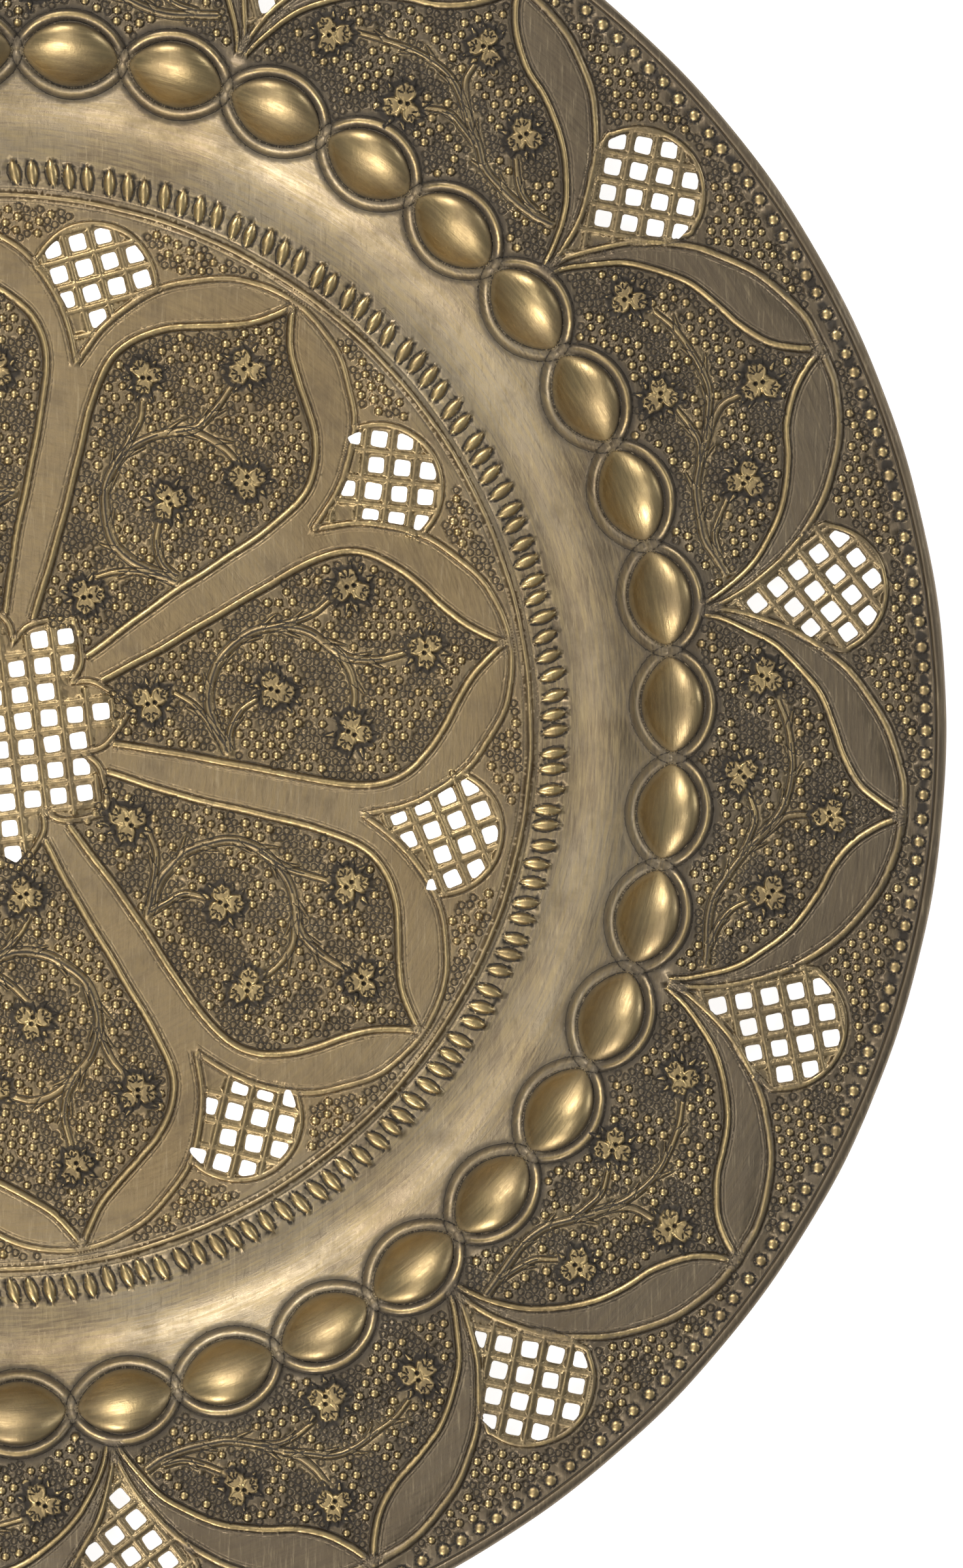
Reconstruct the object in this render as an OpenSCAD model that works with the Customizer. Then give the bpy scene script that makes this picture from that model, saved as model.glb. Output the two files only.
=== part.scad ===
// Round serving tray of chased and pierced brass sheet, with its edge rolled over a wire.
// Millimetres, +Z up. The tray's axis is x = y = 0 and the floor's underside lies on z = 0.

/* [Tray] */
// Diameter over the rolled edge
tray_d = 580; // [440:5:680]
// Thickness of the brass sheet
sheet_t = 1; // [0.8:0.1:1.2]
// Slope of the wall between the floor and the border, in degrees
wall_slope = 32; // [26:1:36]

/* [Rolled edge] */
// Diameter of the wire inside the rolled edge
wire_d = 3; // [2.4:0.1:3.6]
// Height of the rolled edge above the border beside it
edge_rise = 1.2; // [0.8:0.1:1.4]

/* [Bosses] */
// Number of eye-shaped bosses round the wall
boss_count = 40; // [32:1:44]
// Height of a boss above the wall
boss_h = 6; // [4:0.5:7]

/* [Pierced lattices] */
// Number of lattice windows in the border
border_windows = 12; // [10:1:12]
// Number of lattice windows in the medallion, and of petals in the rosette
medallion_windows = 8; // [6:1:8]
// Distance from one hole of a lattice to the next
lattice_pitch = 8; // [7:0.5:10]
// Side of a square hole in a lattice
hole_w = 5; // [4:0.25:6]

/* [Hidden] */

$fn = 96;
tray_r = tray_d / 2;
size_k = tray_r / 290;             // the pattern grows with the tray

// The sheet's profile: floor, cove, wall, shoulder, border, rolled edge
cove_r = 30 * size_k;
shoulder_r = 12 * size_k;
cove_start = 177 * size_k;
wall_run = 22 * size_k;
arc_steps = 4;
roll_r = wire_d / 2 + sheet_t;
roll_x = tray_r - roll_r;

function cove_point(a) = [cove_start + cove_r * sin(a), cove_r * (1 - cos(a))];
wall_foot = cove_point(wall_slope);
wall_top = wall_foot + wall_run * [1, tan(wall_slope)];
function shoulder_point(a) = wall_top
    + shoulder_r * [sin(wall_slope) - sin(a), cos(a) - cos(wall_slope)];
border_z = shoulder_point(0)[1];    // underside of the flat border
roll_z = border_z + sheet_t + edge_rise - roll_r;

underside = concat(
    [for (i = [0:arc_steps]) cove_point(wall_slope * i / arc_steps)],
    [for (i = [arc_steps:-1:0]) shoulder_point(wall_slope * i / arc_steps)],
    [[roll_x, border_z]]);

// The bosses: each is an arc turned about a line that runs along the wall, under its surface
boss_ring_r = 207 * size_k;
boss_half_l = 15.4 * size_k;
boss_half_w = 10.6 * size_k;
boss_r = (boss_half_w * boss_half_w + boss_h * boss_h) / (2 * boss_h);
boss_sink = boss_r - boss_h;
boss_arc_r = (boss_half_l * boss_half_l + boss_h * boss_h) / (2 * boss_h);
boss_first_turn = 2.3;
boss_z = wall_foot[1] + (boss_ring_r - wall_foot[0]) * tan(wall_slope) + sheet_t / cos(wall_slope);

// The windows: distance from the tray's axis against half width, without the ridge round them
border_side = [[226, 0.4], [238, 5.2], [245, 9.8], [250, 13.9], [254.5, 17.8]] * size_k;
border_end = [255.5, 18.6] * size_k;           // centre and radius of the round end
border_end_from = 88;                          // where the round end starts, in degrees
border_first_turn = 9.7;
border_lattice_turn = [29, 40, 34, 36, 44, 31, 38, 30, 42, 28, 39, 31];
medallion_side = [[121, 0.4], [124, 1.8], [132, 7.1], [139.3, 13.8], [145.2, 17.3]] * size_k;
medallion_end = [139.2, 18.2] * size_k;
medallion_end_from = 70;
medallion_first_turn = 32.4;
medallion_lattice_turn = [51, 28, 40, 35, 46, 32, 44, 35];
rosette_petal = [[40.6, 0], [37, 4.8], [32.6, 8.6]] * size_k;
rosette_notch_r = 26.6 * size_k;
rosette_lattice_turn = 7;
rosette_lattice_start = [0.17, 0.28];
rosette_margin = 2;
cell_reach = 8;                                // cells counted each way from a window's middle
edge_margin = 0.8;                             // a hole's middle is at least this far inside its window
cut_h = tray_r / 2;

function mirrored(side) = [for (i = [len(side) - 1:-1:0]) [side[i][0], -side[i][1]]];
function window_outline(side, end, from) = concat(
    side,
    [for (a = [from:-from / 9:-from - 0.01]) [end[0] + end[1] * cos(a), end[1] * sin(a)]],
    [for (i = [len(side) - 1:-1:1]) [side[i][0], -side[i][1]]]);
function turned(p, a) = [p[0] * cos(a) - p[1] * sin(a), p[0] * sin(a) + p[1] * cos(a)];

// Is the middle of a hole well inside a window?
function in_window(p, side, end) = p[0] < end[0]
    ? p[0] > side[0][0] + hole_w && abs(p[1]) < lookup(p[0], side) - edge_margin
    : norm(p - [end[0], 0]) < end[1] - edge_margin;
function rosette_reach(a) = lookup(
    abs((a + 720) % (360 / medallion_windows) - 180 / medallion_windows),
    [[0, rosette_notch_r], [180 / medallion_windows * 0.4, 32 * size_k], [180 / medallion_windows, 40.6 * size_k]]);

module hole_at(p, turn) {
    translate(p) rotate(turn) square(hole_w, center = true);
}

// The round window's cells, on the window's own axis
module window_holes(side, end, from, turn) {
    middle = [end[0] - 2 * size_k, 0];
    intersection() {
        polygon(window_outline(side, end, from));
        for (i = [-cell_reach:cell_reach], j = [-cell_reach:cell_reach]) {
            p = middle + turned([i, j] * lattice_pitch, turn);
            if (in_window(p, side, end)) hole_at(p, turn);
        }
    }
}

module rosette_holes() {
    half = 180 / medallion_windows;
    outline = [for (k = [0:medallion_windows - 1])
        each [for (p = concat(mirrored([for (i = [1:len(rosette_petal) - 1]) rosette_petal[i]]),
                              [for (q = rosette_petal) q],
                              [rosette_notch_r * [cos(half), sin(half)]]))
            turned(p, medallion_first_turn + half * (2 * k + 1))]];
    intersection() {
        polygon(outline);
        for (i = [-cell_reach:cell_reach], j = [-cell_reach:cell_reach]) {
            p = turned(([i, j] + rosette_lattice_start) * lattice_pitch, rosette_lattice_turn);
            a = atan2(p[1], p[0]) - medallion_first_turn;
            if (norm(p) < rosette_reach(a) - rosette_margin) hole_at(p, rosette_lattice_turn);
        }
    }
}

module all_windows() {
    for (k = [0:border_windows - 1])
        rotate(border_first_turn + 360 / border_windows * k)
            window_holes(border_side, border_end, border_end_from, border_lattice_turn[k]);
    for (k = [0:medallion_windows - 1])
        rotate(medallion_first_turn + 360 / medallion_windows * k)
            window_holes(medallion_side, medallion_end, medallion_end_from, medallion_lattice_turn[k]);
    rosette_holes();
}

// The plain dished sheet with its rolled edge
module dished_sheet() {
    top = [for (i = [len(underside) - 1:-1:0]) underside[i] + [0, sheet_t]];
    rotate_extrude() {
        polygon(concat([[0, 0]], underside, top, [[0, sheet_t]]));
        translate([roll_x, roll_z]) difference() {
            circle(r = roll_r);
            circle(r = wire_d / 2);
            rotate(205) square([roll_r * 2, 0.5]);
        }
    }
}

// A boss in its own frame: long axis along Y, the wall's surface at z = 0
module boss_body(skin) {
    translate([0, 0, -boss_sink]) rotate([90, 0, 0]) rotate_extrude()
        intersection() {
            translate([boss_r - boss_arc_r, 0]) circle(r = boss_arc_r - skin);
            translate([0, -boss_half_l * 2]) square([boss_r * 2, boss_half_l * 4]);
        }
}

module on_wall() {
    for (k = [0:boss_count - 1])
        rotate(boss_first_turn + 360 / boss_count * k)
            translate([boss_ring_r, 0, boss_z])
                rotate([0, -wall_slope, 0])
                    children();
}

module tray_sheet() {
    color("#9c8452") difference() {
        union() {
            dished_sheet();
            on_wall() intersection() {
                boss_body(0);
                translate([-boss_half_w * 2, -boss_half_l * 2, -sheet_t / 2])
                    cube([boss_half_w * 4, boss_half_l * 4, boss_h * 2]);
            }
        }
        on_wall() boss_body(sheet_t);
        translate([0, 0, -cut_h / 2]) linear_extrude(cut_h) all_windows();
    }
}

module rim_wire() {
    color("#6e6a62") rotate_extrude() translate([roll_x, roll_z]) circle(r = wire_d / 2);
}

tray_sheet();
rim_wire();
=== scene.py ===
"""A chased and pierced brass tray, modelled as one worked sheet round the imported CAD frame."""
import math

import bpy
import numpy as np
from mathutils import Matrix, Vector
from mathutils.geometry import delaunay_2d_cdt


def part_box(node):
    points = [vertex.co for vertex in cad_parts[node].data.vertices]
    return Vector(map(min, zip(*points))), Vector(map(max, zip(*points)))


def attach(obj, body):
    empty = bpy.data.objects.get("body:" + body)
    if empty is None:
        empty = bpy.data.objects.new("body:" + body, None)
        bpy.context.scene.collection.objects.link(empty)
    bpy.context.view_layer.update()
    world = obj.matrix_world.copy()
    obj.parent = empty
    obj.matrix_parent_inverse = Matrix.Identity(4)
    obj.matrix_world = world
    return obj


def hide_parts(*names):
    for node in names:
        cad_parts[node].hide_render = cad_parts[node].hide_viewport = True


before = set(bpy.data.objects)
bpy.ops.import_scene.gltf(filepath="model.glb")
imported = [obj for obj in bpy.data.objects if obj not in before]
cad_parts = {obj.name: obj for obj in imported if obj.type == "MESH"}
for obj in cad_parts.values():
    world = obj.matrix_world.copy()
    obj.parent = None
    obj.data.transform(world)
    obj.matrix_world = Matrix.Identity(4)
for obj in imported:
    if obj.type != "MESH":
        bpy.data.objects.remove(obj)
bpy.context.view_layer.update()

rng = np.random.default_rng(11)

# ---------------------------------------------------------------- sizes, in millimetres
MM = 0.001
low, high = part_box("tray_sheet")
TRAY_R = (high[0] - low[0]) / 2 / MM
TOP = high[2] / MM
K = TRAY_R / 290                      # the pattern's size against a 580 mm tray
SHEET = 1.0
WALL_SLOPE = math.radians(32)
COVE_R, COVE_START = 30 * K, 177 * K
SHOULDER_R, WALL_RUN = 12 * K, 22 * K
WIRE_R = 1.5
ROLL_R = WIRE_R + SHEET
ROLL_X, ROLL_Z = TRAY_R - ROLL_R, TOP - ROLL_R
WIRE_PLAY = 0.03

BORDER_N, BORDER_FIRST = 12, 9.7      # border windows and the first one's angle
MEDAL_N, MEDAL_FIRST = 8, 32.4        # medallion windows and the first one's angle
BOSS_N, BOSS_FIRST, BOSS_RING = 40, 2.3, 207 * K
BOSS_LONG, BOSS_WIDE, BOSS_HIGH = 15.7 * K, 9.5 * K, 5.7
BEAD_N, BEAD_RING = 271, 283.4 * K
RICE_N, RICE_RING = 184, 171 * K
PITCH, HOLE = 8.0, 5.0                # of the lattices
THIN_RIDGE, THIN_GROOVES = 163.9 * K, (161.9 * K, 166.2 * K)   # round the medallion
GROUND_IN, GROUND_OUT = 161.5 * K, 209 * K                     # nothing is punched between them

ROSETTE_EDGE = 47 * K                 # circles along which the sheet is parted into pieces
MEDAL_EDGE = 176.5 * K
BORDER_EDGE = 286 * K

FINE_GAP, ROUGH_GAP = 0.14, 0.75      # least distance between vertices, on top and underneath
FINE_GRID, ROUGH_GRID = 1.7, 2.2      # spacing of the vertices that fill plain ground
LEAST_SHEET = 0.45                    # thinnest that the worked sheet may get

FOOT_X = COVE_START + COVE_R * math.sin(WALL_SLOPE)
FOOT_Z = COVE_R * (1 - math.cos(WALL_SLOPE))
HEAD_X, HEAD_Z = FOOT_X + WALL_RUN, FOOT_Z + WALL_RUN * math.tan(WALL_SLOPE)
BORDER_X = HEAD_X + SHOULDER_R * math.sin(WALL_SLOPE)
BORDER_Z = HEAD_Z + SHOULDER_R * (1 - math.cos(WALL_SLOPE))


def clip01(v):
    return np.clip(v, 0, 1)


def profile(r):
    """Height of the sheet's underside at distance r from the axis, before any relief."""
    cove = COVE_R * (1 - np.cos(np.arcsin(np.clip((r - COVE_START) / COVE_R, 0, 0.9))))
    wall = FOOT_Z + (r - FOOT_X) * math.tan(WALL_SLOPE)
    turn = np.arcsin(np.clip(math.sin(WALL_SLOPE) - (r - HEAD_X) / SHOULDER_R, 0, 0.9))
    shoulder = HEAD_Z + SHOULDER_R * (np.cos(turn) - math.cos(WALL_SLOPE))
    return np.select([r < FOOT_X, r < HEAD_X, r < BORDER_X], [cove, wall, shoulder], BORDER_Z)


# ---------------------------------------------------------------- rasters that hold the relief
HALF = 292.0


class Field:
    """A square raster over the tray; values are millimetres or 0 to 1."""

    def __init__(self, step):
        self.step = step
        self.n = int(round(2 * HALF / step))
        self.a = np.zeros((self.n, self.n), np.float32)

    def window(self, x, y, r):
        i0, i1 = (int(np.clip((x + d + HALF) / self.step, 0, self.n)) for d in (-r, r))
        j0, j1 = (int(np.clip((y + d + HALF) / self.step, 0, self.n)) for d in (-r, r))
        gx = (np.arange(i0, i1) + 0.5) * self.step - HALF - x
        gy = (np.arange(j0, j1) + 0.5) * self.step - HALF - y
        return (slice(j0, j1), slice(i0, i1)), gx[None, :], gy[:, None]

    def stamp(self, x, y, r, shape):
        s, gx, gy = self.window(x, y, r)
        np.maximum(self.a[s], shape(gx, gy), out=self.a[s])

    def blur(self, radius, passes=2):
        k = max(int(round(radius / self.step)), 1)
        for _ in range(passes):
            for axis in (0, 1):
                pad = [(k + 1, k) if ax == axis else (0, 0) for ax in (0, 1)]
                c = np.cumsum(np.pad(self.a, pad, mode="edge"), axis=axis, dtype=np.float64)
                hi = np.take(c, np.arange(2 * k + 1, c.shape[axis]), axis=axis)
                lo = np.take(c, np.arange(0, c.shape[axis] - 2 * k - 1), axis=axis)
                self.a = ((hi - lo) / (2 * k + 1)).astype(np.float32)
        return self

    def at(self, x, y):
        u = np.clip((x + HALF) / self.step - 0.5, 0, self.n - 1.001)
        v = np.clip((y + HALF) / self.step - 0.5, 0, self.n - 1.001)
        i, j = u.astype(int), v.astype(int)
        fu, fv = u - i, v - j
        a = self.a
        top = a[j, i] * (1 - fu) + a[j, i + 1] * fu
        return top * (1 - fv) + (a[j + 1, i] * (1 - fu) + a[j + 1, i + 1] * fu) * fv


raised = Field(0.1)        # what stands up from the ground
cut = Field(0.1)           # what is engraved or punched into it
ground = Field(0.4)        # how far the punched ground is sunk
dark = Field(0.4)          # where old black polish has stayed
gold = Field(0.4)          # where rubbing has kept the brass bright, and painted highlights on the domes' tops
mesh_points = []           # where the mesh needs vertices, the most important first


def want(points):
    mesh_points.append(np.asarray(points, float))


def want_ring(x, y, r, n, turn=0.0):
    a = turn + np.arange(n) * 2 * math.pi / n
    want(np.column_stack([x + r * np.cos(a), y + r * np.sin(a)]))


# ---------------------------------------------------------------- curves
def spline(points, step=0.5):
    """A smooth curve through the points, with vertices about a step apart."""
    p = np.asarray(points, float)
    p = np.vstack([2 * p[0] - p[1], p, 2 * p[-1] - p[-2]])
    out = []
    for a, b, c, d in zip(p[:-3], p[1:-2], p[2:-1], p[3:]):
        t = np.linspace(0, 1, max(int(np.linalg.norm(c - b) / 0.2), 2), endpoint=False)[:, None]
        out.append(0.5 * (2 * b + (c - a) * t + (2 * a - 5 * b + 4 * c - d) * t**2
                          + (3 * b - a - 3 * c + d) * t**3))
    return even(np.vstack(out + [p[-2:-1]]), step)


def even(p, step):
    """The same line with its vertices evenly spaced."""
    d = np.concatenate([[0], np.cumsum(np.linalg.norm(np.diff(p, axis=0), axis=1))])
    n = max(int(round(d[-1] / step)), 1)
    s = np.linspace(0, d[-1], n + 1)
    return np.column_stack([np.interp(s, d, p[:, 0]), np.interp(s, d, p[:, 1])])


def turned(p, degrees):
    a = math.radians(degrees)
    p = np.asarray(p, float)
    return np.column_stack([p[:, 0] * math.cos(a) - p[:, 1] * math.sin(a),
                            p[:, 0] * math.sin(a) + p[:, 1] * math.cos(a)])


def polar(r, degrees):
    a = np.radians(degrees)
    return np.column_stack([r * np.cos(a), r * np.sin(a)])


def unit(v):
    return v / np.linalg.norm(v, axis=1)[:, None]


def normals(p):
    t = np.gradient(p, axis=0)
    t /= np.maximum(np.linalg.norm(t, axis=1), 1e-9)[:, None]
    return np.column_stack([-t[:, 1], t[:, 0]])


def wobble(p, size, seed):
    """Hand-drawn unevenness along a line."""
    g = np.random.default_rng(seed)
    s = np.arange(len(p)) * 0.5
    w = sum(np.sin(s / f + g.uniform(0, 6.28)) * g.uniform(0.4, 1) for f in (3.1, 7.3, 15))
    return p + normals(p) * (w * size / 2)[:, None]


kernels = {}


def kernel(half_w, height, sharp):
    key = (round(half_w, 2), round(height, 2), sharp)
    if key not in kernels:
        m = int(half_w / raised.step) + 1
        g = np.arange(-m, m + 1) * raised.step
        d = np.hypot(g[None, :], g[:, None]) / half_w
        k = (1 - clip01(d) ** 2) ** (1.0 if sharp else 0.6)
        kernels[key] = (m, (k * height).astype(np.float32))
    return kernels[key]


def draw(field, line, half_w, height, sharp=False):
    """Sweeps a rounded ridge, or groove, along a line."""
    p = even(line, 0.14)
    n = len(p)
    w = np.interp(np.linspace(0, 1, n), np.linspace(0, 1, np.size(half_w)), np.ravel(half_w))
    h = np.interp(np.linspace(0, 1, n), np.linspace(0, 1, np.size(height)), np.ravel(height))
    ij = ((p + HALF) / field.step).astype(int)
    for (i, j), wi, hi in zip(ij, np.maximum(np.round(w, 1), 0.1), np.round(h, 2)):
        m, k = kernel(wi, hi, sharp)
        if m <= i < field.n - m and m <= j < field.n - m:
            spot = field.a[j - m:j + m + 1, i - m:i + m + 1]
            np.maximum(spot, k, out=spot)


def ridge(line, half_w=1.25, height=0.75, grooves=(1, 1), step=0.9, depth=0.2):
    """A rounded ridge with an engraved line along either side."""
    draw(raised, line, half_w, height)
    p = even(line, step)
    n = normals(p)
    w = np.interp(np.linspace(0, 1, len(p)), np.linspace(0, 1, np.size(half_w)), np.ravel(half_w))
    for f in (0, -0.55, 0.55, -0.95, 0.95):
        want(p + n * (w * f)[:, None])
    for side, there in zip((-1, 1), grooves):
        for k in range(int(there)):
            off = side * (w + 0.3 + k * 0.85)
            groove = p + n * off[:, None]
            draw(cut, groove, 0.24, depth * (1 - 0.3 * k), sharp=True)
            for d in (0, -0.26, 0.26):
                want(groove + n * d)
        for k in (1.0, 1.7, 2.5):
            want(p + n * (side * (w + k))[:, None])


def groove(line, half_w=0.24, depth=0.18, step=0.8):
    draw(cut, line, half_w, depth, sharp=True)
    p = even(line, step)
    n = normals(p)
    for d in (0, -half_w, half_w):
        want(p + n * d)


def inside(points, loop):
    """Which points lie in a closed outline?"""
    x, y = points[:, 0], points[:, 1]
    hit = np.zeros(len(points), bool)
    a, b = loop, np.roll(loop, -1, axis=0)
    for (x1, y1), (x2, y2) in zip(a, b):
        if y1 != y2:
            hit ^= ((y1 > y) != (y2 > y)) & (x < (x2 - x1) * (y - y1) / (y2 - y1) + x1)
    return hit


def fill(field, loop, value):
    lo, hi = loop.min(0), loop.max(0)
    c = (lo + hi) / 2
    s, gx, gy = field.window(c[0], c[1], max(hi - lo) / 2 + 1)
    shape = np.broadcast_shapes(gx.shape, gy.shape)
    p = np.column_stack([np.broadcast_to(gx + c[0], shape).ravel(),
                         np.broadcast_to(gy + c[1], shape).ravel()])
    m = inside(p, loop).reshape(shape)
    field.a[s] = np.where(m, value, field.a[s])


# ---------------------------------------------------------------- punched and raised marks
def dome(x, y, r=1.3, height=0.85, moat=0.06):
    raised.stamp(x, y, r, lambda u, v: height * np.sqrt(clip01(1 - (u * u + v * v) / r**2)))
    cut.stamp(x, y, r + 0.6, lambda u, v: moat * clip01(
        1 - (np.abs(np.hypot(u, v) - r - 0.15) / 0.4) ** 2))
    # The gold on the dome's top is a painted highlight over rubbed brass.
    gold.stamp(x, y, r * 1.1, lambda u, v: 0.95 * clip01(1.25 - (u * u + v * v) / (0.62 * r * r)))
    t = rng.uniform(0, 1)
    want([(x, y)])
    for f, n in ((0.42, 6), (0.78, 9), (1.0, 11), (1.28, 9)):
        want_ring(x, y, r * f, n, t)
        t += 0.3


def ring_punch(x, y, r=0.95, depth=0.42):
    gap = rng.uniform(0, 6.28)
    weak = rng.uniform(0.0, 0.5)

    def mark(u, v):
        d = np.abs(np.hypot(u, v) - r)
        even_depth = depth * (1 - weak * 0.5 * (1 + np.cos(np.arctan2(v, u) - gap)))
        return even_depth * clip01(1 - (d / 0.27) ** 2)

    cut.stamp(x, y, r + 0.3, mark)
    t = rng.uniform(0, 1)
    want_ring(x, y, r, 18, t)
    want_ring(x, y, r - 0.26, 13, t + 0.2)
    want_ring(x, y, r + 0.26, 16, t + 0.1)
    want_ring(x, y, r * 0.35, 4, t)


def rice(x, y, along, length=4.2, width=1.8, height=1.15):
    """A leaf-shaped bead with a crescent punched on each side of it."""
    c, s = math.cos(along), math.sin(along)

    def local(u, v):
        return u * c + v * s, -u * s + v * c

    def body(u, v):
        a, b = local(u, v)
        edge = width * np.clip(1 - (a / length) ** 2, 1e-4, 1) ** 0.8
        return height * clip01(1 - (b / edge) ** 2) ** 0.6 * (edge / width) ** 0.7 * (
            np.abs(a) < length)

    def crescent(u, v):
        a, b = local(u, v)
        edge = (width + 0.25) * clip01(1 - (a / (length + 0.4)) ** 2) ** 0.8
        return 0.4 * clip01(1 - ((np.abs(b) - edge) / 0.32) ** 2) * (np.abs(a) < length)

    raised.stamp(x, y, length, body)
    cut.stamp(x, y, length + 0.6, crescent)
    gold.stamp(x, y, length, lambda u, v: 0.9 * (body(u, v) > 0.2))
    dark.stamp(x, y, length + 0.6, lambda u, v: 0.75 * (crescent(u, v) > 0.05))
    t = np.linspace(-1, 1, 9)
    for f in (0, -0.5, 0.5, -1, 1, -1.2, 1.2, -1.45, 1.45):
        edge = width * clip01(1 - t**2 * 0.98) ** 0.8 * f
        want(np.column_stack([x + t * length * c - edge * s, y + t * length * s + edge * c]))


def dark_spot(x, y, r, value):
    dark.stamp(x, y, r + 0.3, lambda u, v: value * (u * u + v * v < r * r))


def veins(x, y, lobes):
    """Four chased veins fanned out in each of a blossom's lobes."""
    for a, d, r in lobes:
        cx, cy = x + d * math.cos(a), y + d * math.sin(a)
        for k in range(4):
            b = a + (k - 1.5) * 0.75 + rng.uniform(-0.15, 0.15)
            start, end = 0.25 * r, rng.uniform(0.65, 0.8) * r
            line = np.array([(cx + start * math.cos(b), cy + start * math.sin(b)),
                             (cx + end * math.cos(b), cy + end * math.sin(b))])
            draw(cut, line, 0.3, 0.7, sharp=True)
            draw(dark, line, 0.4, 0.9)
            want(even(line, 0.3))


def pricked_eyes(x, y, turn, size):
    """Two punched dots beside a blossom's middle."""
    for a in (turn + 1.1, turn + 3.6):
        px, py = x + 1.15 * size * math.cos(a), y + 1.15 * size * math.sin(a)
        cut.stamp(px, py, 0.9, lambda u, v: 1.3 * clip01(1 - (u * u + v * v) / 0.5) ** 0.5)
        dark_spot(px, py, 0.75, 1.0)
        want([(px, py)])
        want_ring(px, py, 0.55, 8)
        want_ring(px, py, 0.8, 9)


def thorns(x, y, turn, size, lobes, count=11):
    """Short pointed leaves round a blossom, with a cut line along both sides of each."""
    for k in range(count):
        a = turn + 0.4 + k * 2 * math.pi / count + rng.uniform(-0.12, 0.12)
        reach = [d + r * 0.9 for b, d, r in lobes if math.cos(a - b) > 0.45]
        inner = max(reach + [3.0 * size]) * rng.uniform(0.92, 1.0)
        outer = inner + rng.uniform(1.8, 3.2) * size
        tip = a + rng.uniform(-0.12, 0.12)
        p = np.array([[x + inner * math.cos(a), y + inner * math.sin(a)],
                      [x + outer * math.cos(tip), y + outer * math.sin(tip)]])
        draw(raised, p, (0.95, 0.25), (0.85, 0.45))
        side = np.array([-math.sin(a), math.cos(a)])
        for f in (-1, 1):
            edge = np.vstack([p[0] + side * 0.95 * f, p[1] + side * 0.1 * f])
            draw(cut, edge, 0.26, 0.5, sharp=True)
            want(even(edge, 0.5))
        want(even(p, 0.45))


def flower(x, y, turn, size=1.0):
    """A three-lobed blossom with chased veins, two punched dots and a halo of thorns."""
    lobes = [(turn + a + rng.uniform(-0.25, 0.25), rng.uniform(2.7, 3.3) * size,
              rng.uniform(2.7, 3.2) * size)
             for a in (0.0, 2.2, 4.1)]
    ragged = rng.uniform(0, 6.28, 3)

    def nearness(u, v):
        phi = np.arctan2(v, u)
        frill = 1 + 0.07 * np.sin(9 * phi + ragged[0]) + 0.05 * np.sin(14 * phi + ragged[1])
        near = np.full(np.broadcast_shapes(u.shape, v.shape), 9.0)
        for a, d, r in lobes:
            near = np.minimum(near, np.hypot(u - d * math.cos(a), v - d * math.sin(a)) / r)
        return np.minimum(near, np.hypot(u, v) / (2.0 * size)) / frill

    def body(u, v):
        near = nearness(u, v)
        rim = 0.3 * clip01(1 - ((near - 0.8) / 0.2) ** 2)
        return 0.9 * clip01(1 - near**3) ** 0.5 + rim

    def halo(u, v):
        near = nearness(u, v)
        return clip01((near - 0.98) / 0.06) * clip01((1.6 - near) / 0.35)

    raised.stamp(x, y, 7 * size, body)
    gold.stamp(x, y, 7 * size, lambda u, v: 0.8 * (body(u, v) > 0.3))
    dark.stamp(x, y, 8 * size, halo)
    cut.stamp(x, y, 8 * size, lambda u, v: 0.35 * halo(u, v))
    veins(x, y, lobes)
    pricked_eyes(x, y, turn, size)
    thorns(x, y, turn, size, lobes)
    g = np.arange(-6.2, 6.3, 0.31) * size
    gu, gv = np.meshgrid(g, g)
    keep = np.hypot(gu, gv) < 6.0 * size
    want(np.column_stack([x + gu[keep], y + gv[keep]]))


def stem(line, w0, w1, height=0.75):
    """A chased stalk: a tapering ridge with a fine line along each side and one down its back."""
    p = even(line, 0.42)
    n = normals(p)
    w = np.linspace(w0, w1, len(p))
    draw(raised, p, (w0, w1), (height, height * 0.75))
    draw(gold, p, w0 * 0.8, 0.42)
    for f in (-1, 1):
        side = p + n * (f * (w + 0.25))[:, None]
        draw(cut, side, 0.25, 0.34, sharp=True)
        want(side)
        want(p + n * (f * w * 0.45)[:, None])
        want(p + n * (f * w * 0.9)[:, None])
        want(side + n * 0.27 * f)
    want(p)
    if w0 > 0.8:
        back = p[: int(len(p) * 0.7)]
        draw(cut, back, 0.3, 0.3, sharp=True)


def leaf(x, y, along, length, side):
    """A small curved blade beside a stalk."""
    t = np.linspace(0, 1, 8)
    bend = side * 0.9 * t * t
    a = along + side * 0.55 - bend * 0.2
    px = x + np.cumsum(np.cos(a)) * length / 8
    py = y + np.cumsum(np.sin(a)) * length / 8
    stem(np.column_stack([px, py]), 0.75, 0.15, 0.5)


# ---------------------------------------------------------------- filling the punched ground
def apart(p, q):
    """How far each point of p is from each point of q."""
    return np.hypot(p[:, None, 0] - q[None, :, 0], p[:, None, 1] - q[None, :, 1])


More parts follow.
